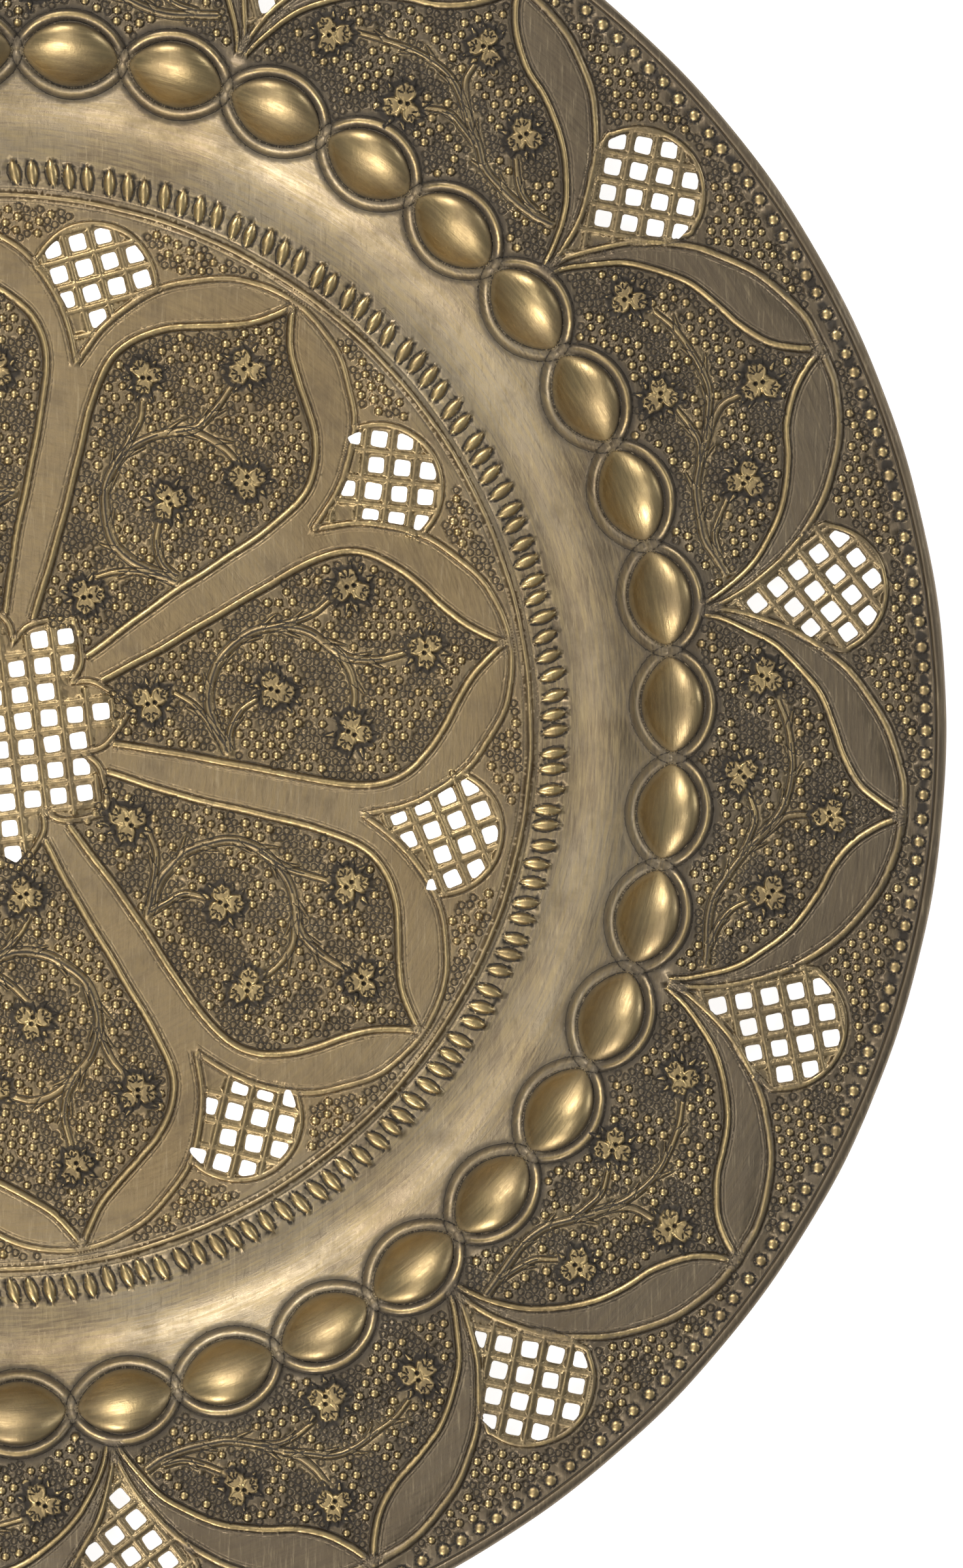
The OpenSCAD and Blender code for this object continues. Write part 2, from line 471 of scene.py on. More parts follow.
def scatter(loop, busy, turn, seed, dome_share=-0.3, dome_pitch=3.85, ring_pitch=2.45):
    """Clusters of domes and rows of ring punches wherever the ground is free."""
    g = np.random.default_rng(seed)
    edge = even(np.vstack([loop, loop[:1]]), 0.8)
    lo, hi = loop.min(0) - 1, loop.max(0) + 1
    c = (lo + hi) / 2
    size = np.linalg.norm(hi - lo) / 2

    def lattice(pitch, jitter, angle):
        k = int(size / pitch) + 2
        i, j = np.meshgrid(np.arange(-k, k + 1), np.arange(-k, k + 1))
        p = np.column_stack([((i + 0.5 * (j % 2)) * pitch).ravel(), (j * pitch * 0.87).ravel()])
        return turned(p, angle) + c + g.uniform(-jitter, jitter, (p.shape[0], 2))

    def clear(p, margin, others, gap):
        r = np.hypot(*p.T)
        p = p[inside(p, loop) & ((r < GROUND_IN) | (r > GROUND_OUT))]
        ok = apart(p, edge).min(1) > margin
        if len(others):
            ok &= (apart(p, others) - others[None, :, 2] - gap).min(1) > 0
        return p[ok]

    phase = g.uniform(0, 6.28, 4)
    p = clear(lattice(dome_pitch, 0.35, turn + g.uniform(-20, 20)), 2.7, busy, 1.25)
    noise = (np.sin(p[:, 0] * 0.36 + phase[0]) * np.sin(p[:, 1] * 0.33 + phase[1])
             + 0.6 * np.sin(p[:, 0] * 0.21 + p[:, 1] * 0.27 + phase[2]))
    domes = p[noise > dome_share]
    for x, y in domes:
        dome(x, y, g.uniform(1.25, 1.5), g.uniform(0.85, 1.05))
    taken = np.vstack([busy, np.column_stack([domes, np.full(len(domes), 1.15)])])
    rings = clear(lattice(ring_pitch, 0.14, turn + g.uniform(-30, 30)), 2.0, taken, 1.0)
    for x, y in rings:
        ring_punch(x, y, g.uniform(0.93, 1.05))


def busy_line(line, radius):
    p = even(line, 0.9)
    return np.column_stack([p, np.full(len(p), radius)])


def sprig(place, stalks, blossoms, leaves, seed):
    """Draws one petal's plant from its template; returns what the ground has to keep clear of."""
    g = np.random.default_rng(seed)
    shift = g.uniform(-1.1, 1.1, 2)
    lean = g.uniform(-1.5, 1.5)
    busy = []

    def placed(points):
        return turned(np.asarray(points, float) * K + shift, place + lean * 0.3)

    for k, (points, w0, w1) in enumerate(stalks):
        line = spline(placed(np.asarray(points) + g.uniform(-0.5, 0.5, (len(points), 2))), 0.6)
        stem(line, w0, w1)
        busy.append(busy_line(line, 0.9 if w0 > 0.8 else 0.7))
        d = np.gradient(line, axis=0)
        for t, side, length in leaves[k]:
            i = int(t * (len(line) - 1))
            along = math.atan2(d[i, 1], d[i, 0])
            leaf(line[i, 0], line[i, 1], along, length * g.uniform(0.85, 1.15), side)
            lean_out = along + side * 0.5
            tip = line[i] + np.array([math.cos(lean_out), math.sin(lean_out)]) * length
            busy.append(busy_line(np.vstack([line[i], tip]), 0.6))
    for u, v in blossoms:
        q = placed([(u + g.uniform(-0.8, 0.8), v + g.uniform(-0.8, 0.8))])[0]
        size = g.uniform(0.92, 1.06)
        flower(q[0], q[1], g.uniform(0, 6.28), size)
        busy.append(np.array([[q[0], q[1], 5.9 * size]]))
    return np.vstack(busy)


# Each stalk: its points on the petal's own axes, then its half width at the root and the tip.
# Each leaf: how far along the stalk it grows, on which side, and its length.
MEDAL_STALKS = [
    ([(69.8, -19), (67.4, -9), (67.0, -3), (68, 3), (71.8, 8.6), (78, 14), (85.5, 16.7), (94, 16),
      (100.8, 13), (105.6, 8.3), (109, 3.5), (111, -2), (111.4, -8), (110.2, -13)], 1.6, 0.9),
    ([(87, 16.6), (96, 17), (102.6, 18.4), (108.4, 20.6)], 1.1, 0.8),
    ([(106.6, 7), (112, 3), (119.8, 1.2), (128.4, 1.6)], 1.3, 0.8),
    ([(70.2, -18), (71.8, -12.4), (75.5, -7.6), (81, -4)], 1.2, 0.8),
    ([(69, -16), (65.5, -9), (61.7, -2.4), (56.8, 1.6)], 1.1, 0.7)]
MEDAL_LEAVES = [
    [(0.22, 1, 6), (0.30, -1, 6), (0.42, -1, 7), (0.5, 1, 6), (0.56, -1, 7), (0.72, 1, 7),
     (0.78, -1, 6), (0.9, 1, 5)],
    [(0.4, 1, 5)], [(0.3, 1, 6), (0.5, -1, 5)], [(0.4, -1, 5)], [(0.5, 1, 5)]]
MEDAL_BLOSSOMS = [(49.6, 1.0), (115, 24), (87.4, -3.1), (134.8, 1.6), (107.4, -19.4)]

BORDER_STALKS = [
    ([(222.6, -50), (222, -44), (221.8, -37), (222.8, -30.4), (225.2, -23.6), (229.4, -17.5),
      (233.4, -12.2), (238, -7), (243.2, -3.4), (249.2, -2.2)], 1.4, 0.9),
    ([(234.6, -10), (238.8, -3.9), (241.8, 2.9), (242.6, 10.4), (241.7, 18), (239.6, 25),
      (236.6, 31.6)], 1.2, 0.7),
    ([(229.8, -16.5), (231.8, -10.7), (232.4, -4.7), (230.4, 1.8)], 1.1, 0.7),
    ([(223, -44), (225, -38), (228.2, -33.4), (232.6, -29.6)], 1.1, 0.7)]
BORDER_LEAVES = [
    [(0.3, -1, 5), (0.45, 1, 6), (0.62, -1, 6), (0.75, 1, 5)],
    [(0.25, 1, 6), (0.45, -1, 6), (0.6, 1, 5), (0.8, -1, 5)], [(0.5, 1, 5)], [(0.4, -1, 4)]]
BORDER_BLOSSOMS = [(231.4, 37.6), (226.8, 8.2), (255.8, -2.0), (239.4, -26.6)]

# ---------------------------------------------------------------- outlines of petals and windows
# Half of a medallion petal: the ridge round its field, and the ridge round the plain band outside
MEDAL_FIELD = np.array([(35.6, 9.9), (57.8, 17.2), (78.8, 25.3), (98.4, 32.7), (112, 35.8),
                        (121.8, 33.9), (129.9, 28.3), (136, 21.4), (141.6, 13.9), (147.3, 7.5),
                        (154.4, 2.4), (158.6, 0)]) * K
MEDAL_BAND = np.array([(107.0, 44.2), (119.8, 43.6), (132, 40.2), (142.2, 34.6), (150.3, 26.1),
                       (155.4, 19), (158.4, 11), (159.8, 4), (160, 0)]) * K
# Half of a border petal's inner ridge: fraction of the way out, fraction of the half angle
BORDER_OGEE = [(0, 0.975), (0.1, 0.93), (0.23, 0.855), (0.33, 0.785), (0.424, 0.69), (0.5, 0.6),
               (0.56, 0.51), (0.62, 0.38), (0.67, 0.25), (0.765, 0.125), (0.88, 0.048), (1, 0)]
BORDER_FOOT, BORDER_TIP = 219.5 * K, 277.6 * K
# Windows: distance from the axis against half width, then the round end's centre and radius
BORDER_SIDE = np.array([(226, 0.4), (238, 5.2), (245, 9.8), (250, 13.9), (254.5, 17.8)]) * K
BORDER_END = np.array([255.5, 18.6]) * K
MEDAL_SIDE = np.array([(121, 0.4), (124, 1.8), (132, 7.1), (139.3, 13.8), (145.2, 17.3)]) * K
MEDAL_END = np.array([139.2, 18.2]) * K
# How far each window's lattice is turned, in degrees
BORDER_LATTICE = [29, 40, 34, 36, 44, 31, 38, 30, 42, 28, 39, 31]
MEDAL_LATTICE = [51, 28, 40, 35, 46, 32, 44, 35]
ROSETTE_TURN, ROSETTE_START = 7, (0.17, 0.28)
ROSETTE_PETAL = np.array([(42.4, 0), (39.2, 4.2), (35.4, 8), (31.6, 10.3)]) * K
ROSETTE_NOTCH = 28.4 * K
MEDAL_STEP, BORDER_STEP = 360 / MEDAL_N, 360 / BORDER_N


def border_outer(side):
    s = np.linspace(0, 1, 60) ** 0.7
    half = BORDER_STEP / 2 * np.sqrt(clip01(1 - s**1.45))
    return polar(BORDER_FOOT + (BORDER_TIP - BORDER_FOOT) * s, side * half)


def border_inner(side):
    o = np.array(BORDER_OGEE)
    p = polar(BORDER_FOOT + (BORDER_TIP - BORDER_FOOT) * o[:, 0], side * o[:, 1] * BORDER_STEP / 2)
    return spline(p, 0.5)


def mirrored(p):
    return p * np.array([1, -1])


def window_edge(side, end, grow):
    """The window's outline, moved out by grow, on the window's own axis."""
    a = np.radians(np.linspace(80, -80, 25))
    arc = np.column_stack([end[0] + (end[1] + grow) * np.cos(a), (end[1] + grow) * np.sin(a)])
    one = side[:-1] + np.array([-grow * 0.6, grow * 0.8])
    return np.vstack([one, arc, mirrored(one)[::-1]])


def in_window(x, y, side, end, margin):
    by_side = np.abs(y) < np.interp(x, side[:, 0], side[:, 1]) - margin
    by_end = np.hypot(x - end[0], y) < end[1] - margin
    return np.where(x < end[0], by_side & (x > side[0, 0]), by_end)


holes = []          # (centre, outline) of every hole, on the tray


def punch_holes(cells, allowed, place, lattice_turn, seed):
    """Each cell's hole is a rounded square, held back where the window's edge crosses it."""
    g = np.random.default_rng(seed)
    phi = np.arange(28) * 2 * math.pi / 28
    for cx, cy in cells:
        half = HOLE / 2 * g.uniform(0.94, 1.03)
        a = phi - math.radians(lattice_turn) - g.uniform(-0.05, 0.05)
        reach = half / (np.abs(np.cos(a)) ** 7 + np.abs(np.sin(a)) ** 7) ** (1 / 7)
        reach = np.minimum(reach, half * 1.3) * (1 + 0.02 * np.sin(3 * phi + g.uniform(0, 6)))
        steps = np.linspace(0.15, 1, 24)[:, None] * reach
        ok = allowed(cx + steps * np.cos(phi), cy + steps * np.sin(phi))
        last = np.where(ok, steps, 0).max(0)
        last = np.minimum(last, (np.roll(last, 1) + np.roll(last, -1)) / 2 * 1.12)
        if (last**2).mean() < 0.9:
            continue
        last = np.maximum(last, 0.4)
        loop = np.column_stack([cx + last * np.cos(phi), cy + last * np.sin(phi)])
        holes.append((turned([(cx, cy)], place)[0], turned(loop, place)))


def lattice_bars(middle, lattice_turn, allowed, place, seed):
    """The bars between the holes carry a fine raised line, and one set passes over the other."""
    g = np.random.default_rng(seed)
    for family in (0, 90):
        for k in range(-8, 8):
            t = np.arange(-48, 48, 0.7)
            line = np.column_stack([t, np.full(len(t), (k + 0.5) * PITCH + g.uniform(-0.3, 0.3))])
            p = turned(line, lattice_turn + family) + middle
            ok = allowed(p[:, 0], p[:, 1])
            cuts = np.flatnonzero(np.diff(np.concatenate([[False], ok, [False]]).astype(int)))
            for a, b in cuts.reshape(-1, 2):
                if b - a > 3:
                    bar = turned(p[a:b], place)
                    draw(raised, bar, 1.0, 0.75 if family else 0.6)
                    draw(gold, bar, 0.8, 0.45)
                    want(bar)
                    want(bar + normals(bar) * 0.7)
                    want(bar - normals(bar) * 0.7)


def window(side, end, place, lattice_turn, seed):
    """A pierced window: its holes, its lattice and the ridge round it."""
    middle = np.array([end[0] - 2 * K, 0])
    i, j = np.meshgrid(np.arange(-8, 9), np.arange(-8, 9))
    cells = turned(np.column_stack([i.ravel(), j.ravel()]) * PITCH, lattice_turn) + middle
    clear_of_tip = (cells[:, 0] >= end[0]) | (cells[:, 0] > side[0, 0] + HOLE)
    cells = cells[clear_of_tip & in_window(cells[:, 0], cells[:, 1], side, end, 0.4)]
    punch_holes(cells, lambda x, y: in_window(x, y, side, end, 0.15), place, lattice_turn, seed)
    lattice_bars(middle, lattice_turn, lambda x, y: in_window(x, y, side, end, -0.5), place, seed)
    fill(ground, turned(window_edge(side, end, 0), place), 0.25)
    rim = turned(window_edge(side, end, 0.9), place)
    ridge(wobble(spline(rim[2:-2], 0.5), 0.2, seed), 0.95, 0.7, grooves=(0, 1))


def rosette():
    """The pierced middle, inside a round of small pointed petals."""
    i, j = np.meshgrid(np.arange(-8, 9), np.arange(-8, 9))
    cells = turned((np.column_stack([i.ravel(), j.ravel()]) + ROSETTE_START) * PITCH, ROSETTE_TURN)
    a = np.degrees(np.arctan2(cells[:, 1], cells[:, 0]))

    def reach(deg):
        """How far out holes may go, longest on a petal's axis."""
        off = np.abs((deg - MEDAL_FIRST) % MEDAL_STEP - MEDAL_STEP / 2)
        return np.interp(off, [0, 7, 13.5, MEDAL_STEP / 2], [40.6 * K, 37 * K, 33 * K, 26.6 * K])

    def allowed(x, y):
        return np.hypot(x, y) < reach(np.degrees(np.arctan2(y, x)))

    cells = cells[np.hypot(*cells.T) < reach(a) - 2.0]
    punch_holes(cells, allowed, 0, ROSETTE_TURN, 77)
    start = turned([np.array(ROSETTE_START) * PITCH], ROSETTE_TURN)[0]
    lattice_bars(start, ROSETTE_TURN, allowed, 0, 78)
    for k in range(MEDAL_N):
        place = MEDAL_FIRST + MEDAL_STEP * (k + 0.5)
        notch = polar(np.array([ROSETTE_NOTCH]), MEDAL_STEP / 2)
        one = np.vstack([ROSETTE_PETAL, notch])
        for edge in (one, mirrored(one)):
            ridge(turned(spline(edge, 0.5), place), 0.95, 0.75, grooves=(1, 1), step=0.7)


# ---------------------------------------------------------------- the bands, from the middle out
def medallion_petal(k):
    """One petal: the ridges round its field and its plain band, its plant and its ground."""
    place = MEDAL_FIRST + MEDAL_STEP * (k + 0.5)
    half = spline(MEDAL_FIELD, 0.5)
    loop = turned(np.vstack([half, mirrored(half)[::-1]]), place)
    fill(ground, loop, 0.5)
    for side in (1, -1):
        line = half if side > 0 else mirrored(half)
        ridge(wobble(turned(line, place), 0.25, 100 + 2 * k + side), 1.2, 0.95,
              grooves=(2, 1) if side < 0 else (1, 2))
        band = spline(MEDAL_BAND, 0.5)
        band = band if side > 0 else mirrored(band)
        ridge(wobble(turned(band, place), 0.2, 120 + 2 * k + side), 1.0, 0.7,
              grooves=(1, 2) if side < 0 else (2, 1))
    busy = sprig(place, MEDAL_STALKS, MEDAL_BLOSSOMS, MEDAL_LEAVES, 200 + k)
    scatter(loop, busy, place, 300 + k)


def medallion_spandrels(k):
    """The small punched corners between a window, its two petals and the thin ridge."""
    place = MEDAL_FIRST + MEDAL_STEP * k
    for side in (1, -1):
        a = np.linspace(5.2, 19, 12)
        outer = polar(163.0 * K, a)
        band = spline(MEDAL_BAND, 0.5)
        off = turned(mirrored(band), MEDAL_STEP / 2)
        r, t = np.hypot(*off.T), np.degrees(np.arctan2(off[:, 1], off[:, 0]))
        ok = (r > 148 * K) & (t < 20)
        inner = off[ok][::-1]
        end_a = np.radians(np.linspace(62, 20, 6))
        arc = np.column_stack([MEDAL_END[0] + (MEDAL_END[1] + 2) * np.cos(end_a),
                               (MEDAL_END[1] + 2) * np.sin(end_a)])
        loop = np.vstack([inner, arc, outer])
        loop = loop if side > 0 else mirrored(loop)
        scatter(turned(loop, place), np.zeros((0, 3)), place, 400 + 2 * k + side, dome_share=-0.6)


def ribbon_edge(degrees):
    """How far the bosses' ribbons reach out, the engraved line included."""
    step = 360 / BOSS_N
    e = ((degrees - BOSS_FIRST + step / 2) % step - step / 2) / (step / 2)
    return BOSS_RING + 1.9 + 11.1 * K * clip01(1 - e**2) ** 0.72


def border_petal(k):
    """One border petal, with its foot cut off by the bosses' ribbons."""
    place = BORDER_FIRST + BORDER_STEP * (k + 0.5)
    inner = [turned(border_inner(s), place) for s in (1, -1)]
    outer = [turned(spline(border_outer(s), 0.5), place) for s in (1, -1)]
    spread = np.linspace(-14, 14, 90)
    base = turned(polar(ribbon_edge(spread + place), spread), place)
    skip = len(inner[0]) // 40
    field = np.vstack([inner[1][skip:], inner[0][skip:][::-1], base[::-1]])
    fill(ground, field, 0.5)
    for s, line in zip((1, -1), inner):
        ridge(wobble(line, 0.3, 500 + 2 * k + s), np.linspace(1.0, 1.35, 5), 1.0,
              grooves=(2, 1) if s < 0 else (1, 2))
    for s, line in zip((1, -1), outer):
        ridge(wobble(line, 0.3, 530 + 2 * k + s), np.linspace(1.0, 1.5, 5), 0.9,
              grooves=(1, 2) if s < 0 else (2, 1))
    busy = sprig(place, BORDER_STALKS, BORDER_BLOSSOMS, BORDER_LEAVES, 600 + k)
    scatter(field, busy, place, 700 + k, dome_share=-0.3)


def border_spandrels(k):
    """The punched ground outside a window's round end, between two petals and the beads."""
    place = BORDER_FIRST + BORDER_STEP * k
    beads = polar(282.4 * K, np.linspace(-14.4, 14.4, 30))
    petal = border_outer(-1)
    petal = turned(petal, BORDER_STEP / 2)
    right = petal[(np.hypot(*petal.T) > 262 * K)]
    end_a = np.radians(np.linspace(78, -78, 24))
    arc = np.column_stack([BORDER_END[0] + (BORDER_END[1] + 1.6) * np.cos(end_a),
                           (BORDER_END[1] + 1.6) * np.sin(end_a)])
    loop = np.vstack([mirrored(right)[::-1], beads, right[::-1], arc])
    scatter(turned(loop, place), np.zeros((0, 3)), place, 800 + k, dome_share=-0.7)
    fill(ground, turned(loop, place), 0.25)


def circle(r, step=0.6):
    return polar(r, np.linspace(0, 360, int(2 * math.pi * r / step) + 1))


def plain_rings():
    """The thin ridge round the medallion, the row of leaf-shaped beads and the rim's beads."""
    ridge(wobble(circle(THIN_RIDGE), 0.12, 41), 0.8, 0.6, grooves=(0, 0))
    for r in THIN_GROOVES:
        groove(wobble(circle(r), 0.15, int(r)), 0.26, 0.18, step=0.5)
    g = np.random.default_rng(5)
    for k in range(RICE_N):
        a = (k + g.uniform(-0.12, 0.12)) * 2 * math.pi / RICE_N
        r = RICE_RING + g.uniform(-0.5, 0.5)
        rice(r * math.cos(a), r * math.sin(a), a + 0.22 + g.uniform(-0.1, 0.1), g.uniform(4.0, 4.5))
    for k in range(BEAD_N):
        a = (k + g.uniform(-0.1, 0.1)) * 2 * math.pi / BEAD_N
        r = BEAD_RING + g.uniform(-0.2, 0.2)
        x, y = r * math.cos(a), r * math.sin(a)
        w = g.uniform(1.75, 2.0)
        dome(x, y, w, g.uniform(0.85, 1.0), 0.3)
        b = a + math.pi / BEAD_N
        polish_and_shade = clip01(0.35 + 0.5 * math.sin(3 * a + 1) + g.uniform(-0.5, 0.5))
        dark_spot(BEAD_RING * math.cos(b), BEAD_RING * math.sin(b), 1.6, polish_and_shade)
        want_ring(x, y, w * 1.15, 12)


def bosses():
    """Eye-shaped bosses up the wall, each held between two ribbons that cross at its points."""
    for k in range(BOSS_N):
        mid = math.radians(BOSS_FIRST + 360 / BOSS_N * k)
        cx, cy = BOSS_RING * math.cos(mid), BOSS_RING * math.sin(mid)

        def local(u, v):
            x, y = u + cx, v + cy
            r = np.hypot(x, y)
            t = (np.arctan2(y, x) - mid + math.pi) % (2 * math.pi) - math.pi
            return t * BOSS_RING, r - BOSS_RING

        def body(u, v):
            s, d = local(u, v)
            edge = BOSS_WIDE * np.clip(1 - (s / BOSS_LONG) ** 2, 1e-5, 1) ** 0.8
            lift = clip01(1 - (s / BOSS_LONG) ** 2) ** 0.85
            return BOSS_HIGH * lift * clip01(1 - (d / edge) ** 2) ** 0.68

        raised.stamp(cx, cy, 17, body)
        gold.stamp(cx, cy, 17, lambda u, v: 0.62 * clip01(body(u, v) / 1.2))
        t = np.linspace(-1, 1, 33)
        for f in (0, 0.2, 0.4, 0.58, 0.74, 0.87, 0.95, 1.0, 1.06):
            for side in ((1,) if f == 0 else (1, -1)):
                d = side * f * BOSS_WIDE * clip01(1 - (t * 0.995) ** 2) ** 0.8
                want(polar(BOSS_RING + d, np.degrees(mid + t * BOSS_LONG / BOSS_RING)))
        for side, reach in ((1, 11.8 * K), (-1, 11.2 * K)):
            e = np.linspace(-1, 1, 61)
            off = side * (0.7 + (reach - 0.7) * clip01(1 - e**2) ** 0.72)
            ang = np.degrees(mid) + e * 180 / BOSS_N
            line = even(polar(BOSS_RING + off, ang), 0.5)
            ridge(line, 1.5, 0.95, grooves=(1, 1), depth=0.4, step=0.8)
            for edge_off in (-1.9, 1.9):
                draw(dark, line + normals(line) * edge_off, 0.4, 0.4)


# Waves in the hammered sheet: rate, two directions and height
WAVES = [(0.11, 0.4, 0.9, 0.05), (0.17, 2.1, -0.7, 0.035),
         (0.29, 1.2, 2.9, 0.018), (0.07, -1.1, 1.7, 0.07)]


def wander(x, y):
    """The gentle unevenness of a sheet hammered by hand."""
    total = 0.12
    for rate, a, b, size in WAVES:
        along = np.sin(rate * (x * math.cos(a) + y * math.sin(a)) + b)
        across = np.sin(rate * (x * math.sin(b) - y * math.cos(b)) + a)
        total = total + size * along * across
    return total


rosette()
for k in range(MEDAL_N):
    medallion_petal(k)
    window(MEDAL_SIDE, MEDAL_END, MEDAL_FIRST + MEDAL_STEP * k, MEDAL_LATTICE[k], 900 + k)
    medallion_spandrels(k)
plain_rings()
bosses()
for k in range(BORDER_N):
    border_petal(k)
    window(BORDER_SIDE, BORDER_END, BORDER_FIRST + BORDER_STEP * k, BORDER_LATTICE[k], 950 + k)
    border_spandrels(k)
ground.blur(0.7)
gold.blur(0.4, 1)

def averaged(radius):
    """The relief's own middle level, against which crests and hollows are told apart."""
    field = Field(ground.step)
    k = int(round(field.step / raised.step))
    relief = (raised.a - cut.a).reshape(field.n, k, field.n, k).mean((1, 3))
    field.a = relief - ground.a
    return field.blur(radius)


level = averaged(1.2)
fine_level = averaged(0.4)


def relief_at(x, y):
    return raised.at(x, y) - cut.at(x, y) - ground.at(x, y)


def top_at(x, y):
    base = profile(np.hypot(x, y))
    worked = base + SHEET + relief_at(x, y) + wander(x, y)
    return np.minimum(np.maximum(worked, base + 0.3), TOP - 0.02)


def bottom_at(x, y):
    r = np.hypot(x, y)
    lift = profile(r) + fine_level.at(x, y) + 0.12 + wander(x, y)
    return np.maximum(lift, 0.0)


def slope_normals(height, x, y, d):
    gx = (height(x + d, y) - height(x - d, y)) / (2 * d)
    gy = (height(x, y + d) - height(x, y - d)) / (2 * d)
    n = np.column_stack([-gx, -gy, np.ones(len(x))])
    return unit(n)


# ---------------------------------------------------------------- meshing
def thin(points, gap):
    """Drops points that crowd earlier ones."""
    for shift in (0, gap / 2):
        cell = np.floor((points + HALF + shift) / gap).astype(np.int64)
        key = cell[:, 0] * 100003 + cell[:, 1]
        _, first = np.unique(key, return_index=True)
        points = points[np.sort(first)]
    return points


def background(gap):
    g = np.arange(-TRAY_R, TRAY_R, gap)
    x, y = np.meshgrid(g, g * 0.97)
    jitter = np.random.default_rng(3).uniform(-gap / 4, gap / 4, (x.size, 2))
    return np.column_stack([x.ravel(), y.ravel()]) + jitter


def grown(centre, loop, by):
    """A hole's outline moved out from its centre."""
    return centre + (loop - centre) * (1 + by / np.linalg.norm(loop - centre, axis=1))[:, None]


loops = [loop for _, loop in holes]
hole_centre = np.array([c for c, _ in holes])
hole_rims = np.vstack([grown(c, loop, 0.28) for c, loop in holes])
fine = thin(np.vstack([hole_rims] + mesh_points + [background(FINE_GRID)]), FINE_GAP)
sparse = [p[::3] for p in mesh_points]
rough = thin(np.vstack([hole_rims[::2]] + sparse + [background(ROUGH_GRID)]), ROUGH_GAP)


def outside_holes(points):
    """Drops the points that fall in a hole, or too near its edge."""
    points = points[np.argsort(points[:, 0], kind="stable")]
    keep = np.ones(len(points), bool)
    for c, loop in holes:
        reach = np.linalg.norm(loop - c, axis=1).max() + 0.2
        i0, i1 = np.searchsorted(points[:, 0], (c[0] - reach, c[0] + reach))
        near = i0 + np.flatnonzero(np.abs(points[i0:i1, 1] - c[1]) < reach)
        keep[near[inside(points[near], grown(c, loop, 0.12))]] = False
    return points[keep]


fine, rough = outside_holes(fine), outside_holes(rough)


def cut_angles(first, count):
    return sorted((first + 360 / count * (k + 0.5)) % 360 for k in range(count))


MEDAL_CUTS = cut_angles(MEDAL_FIRST, MEDAL_N)
BORDER_CUTS = cut_angles(BORDER_FIRST, BORDER_N)


def rim_angles(r, step, special):
    n = int(2 * math.pi * r / step)
    a = np.arange(n) * 360 / n
    for s in special:
        a = a[np.abs((a - s + 180) % 360 - 180) > 180 / n]
    return np.sort(np.concatenate([a, special]))


RIM_A = rim_angles(ROSETTE_EDGE, 0.5, MEDAL_CUTS)
RIM_B = rim_angles(MEDAL_EDGE, 0.6, sorted(MEDAL_CUTS + BORDER_CUTS))
RIM_C = rim_angles(BORDER_EDGE, 0.8, BORDER_CUTS)


def arc_points(rim, r, a0, a1):
    """The rim's vertices from a0 to a1 degrees, ends included, going counter-clockwise."""
    rel = (rim - a0) % 360
    span = (a1 - a0) % 360 or 360
    order = np.argsort(rel)
    keep = [i for i in order if rel[i] <= span + 1e-6 or abs(rel[i] - 360) < 1e-6]
    a = rim[keep]
    if span == 360:
        return polar(r, a)
    if abs((a[-1] - a1 + 180) % 360 - 180) > 1e-6:
        a = np.append(a, a1)
    return polar(r, a)


def radial_points(a, r0, r1, step=0.3):
    n = int((r1 - r0) / step)
    return polar(np.linspace(r0, r1, n + 1)[1:-1], np.full(n - 1, a))


def delaunay(given, edges):
    """Constrained Delaunay triangles, and where each given vertex is among the new ones."""
    out = delaunay_2d_cdt([Vector(p) for p in given.tolist()], edges, [], 0, 1e-6, True)
    xy = np.array([(v[0], v[1]) for v in out[0]])
    tris = np.array([(f[0], f[i], f[i + 1]) for f in out[2] for i in range(1, len(f) - 1)])
    now = np.zeros(len(given), int)
    for new, merged in enumerate(out[3]):
        for old in merged:
            now[old] = new
    return xy, tris, now


def triangulate(outline, points, which, where):
    """Triangles over one piece of the sheet, facing up and leaving out its holes."""
    rings = [outline] + [loops[h] for h in which]
    starts = np.cumsum([0] + [len(ring) for ring in rings]).tolist()
    edges = [(first + i, first + (i + 1) % len(ring))
             for first, ring in zip(starts, rings) for i in range(len(ring))]
    fixed = np.vstack(rings)
    taken = {tuple(c) for c in np.floor(fixed / FINE_GAP).astype(int).tolist()}
    cells = np.floor(points / FINE_GAP).astype(int).tolist()
    points = points[[tuple(c) not in taken for c in cells]]
    xy, tris, now = delaunay(np.vstack([fixed, points]), edges)
    loop_ids = [now[a:b] for a, b in zip(starts[1:-1], starts[2:])]
    owner = np.full(len(xy), -1)
    for h, ids in zip(which, loop_ids):
        owner[ids] = h
    middle = xy[tris].mean(1)
    keep = where(middle)
    own = owner[tris]
    for t in np.flatnonzero((own[:, 0] >= 0) & (own == own[:, :1]).all(1)):
        if inside(middle[t:t + 1], loops[own[t, 0]])[0]:
            keep[t] = False
    a, b, c = (xy[tris[:, i]] for i in range(3))
    area = (b[:, 0] - a[:, 0]) * (c[:, 1] - a[:, 1]) - (b[:, 1] - a[:, 1]) * (c[:, 0] - a[:, 0])
    tris = np.where((area < 0)[:, None], tris[:, ::-1], tris)
    return xy, tris[keep & (np.abs(area) > 1e-7)], loop_ids


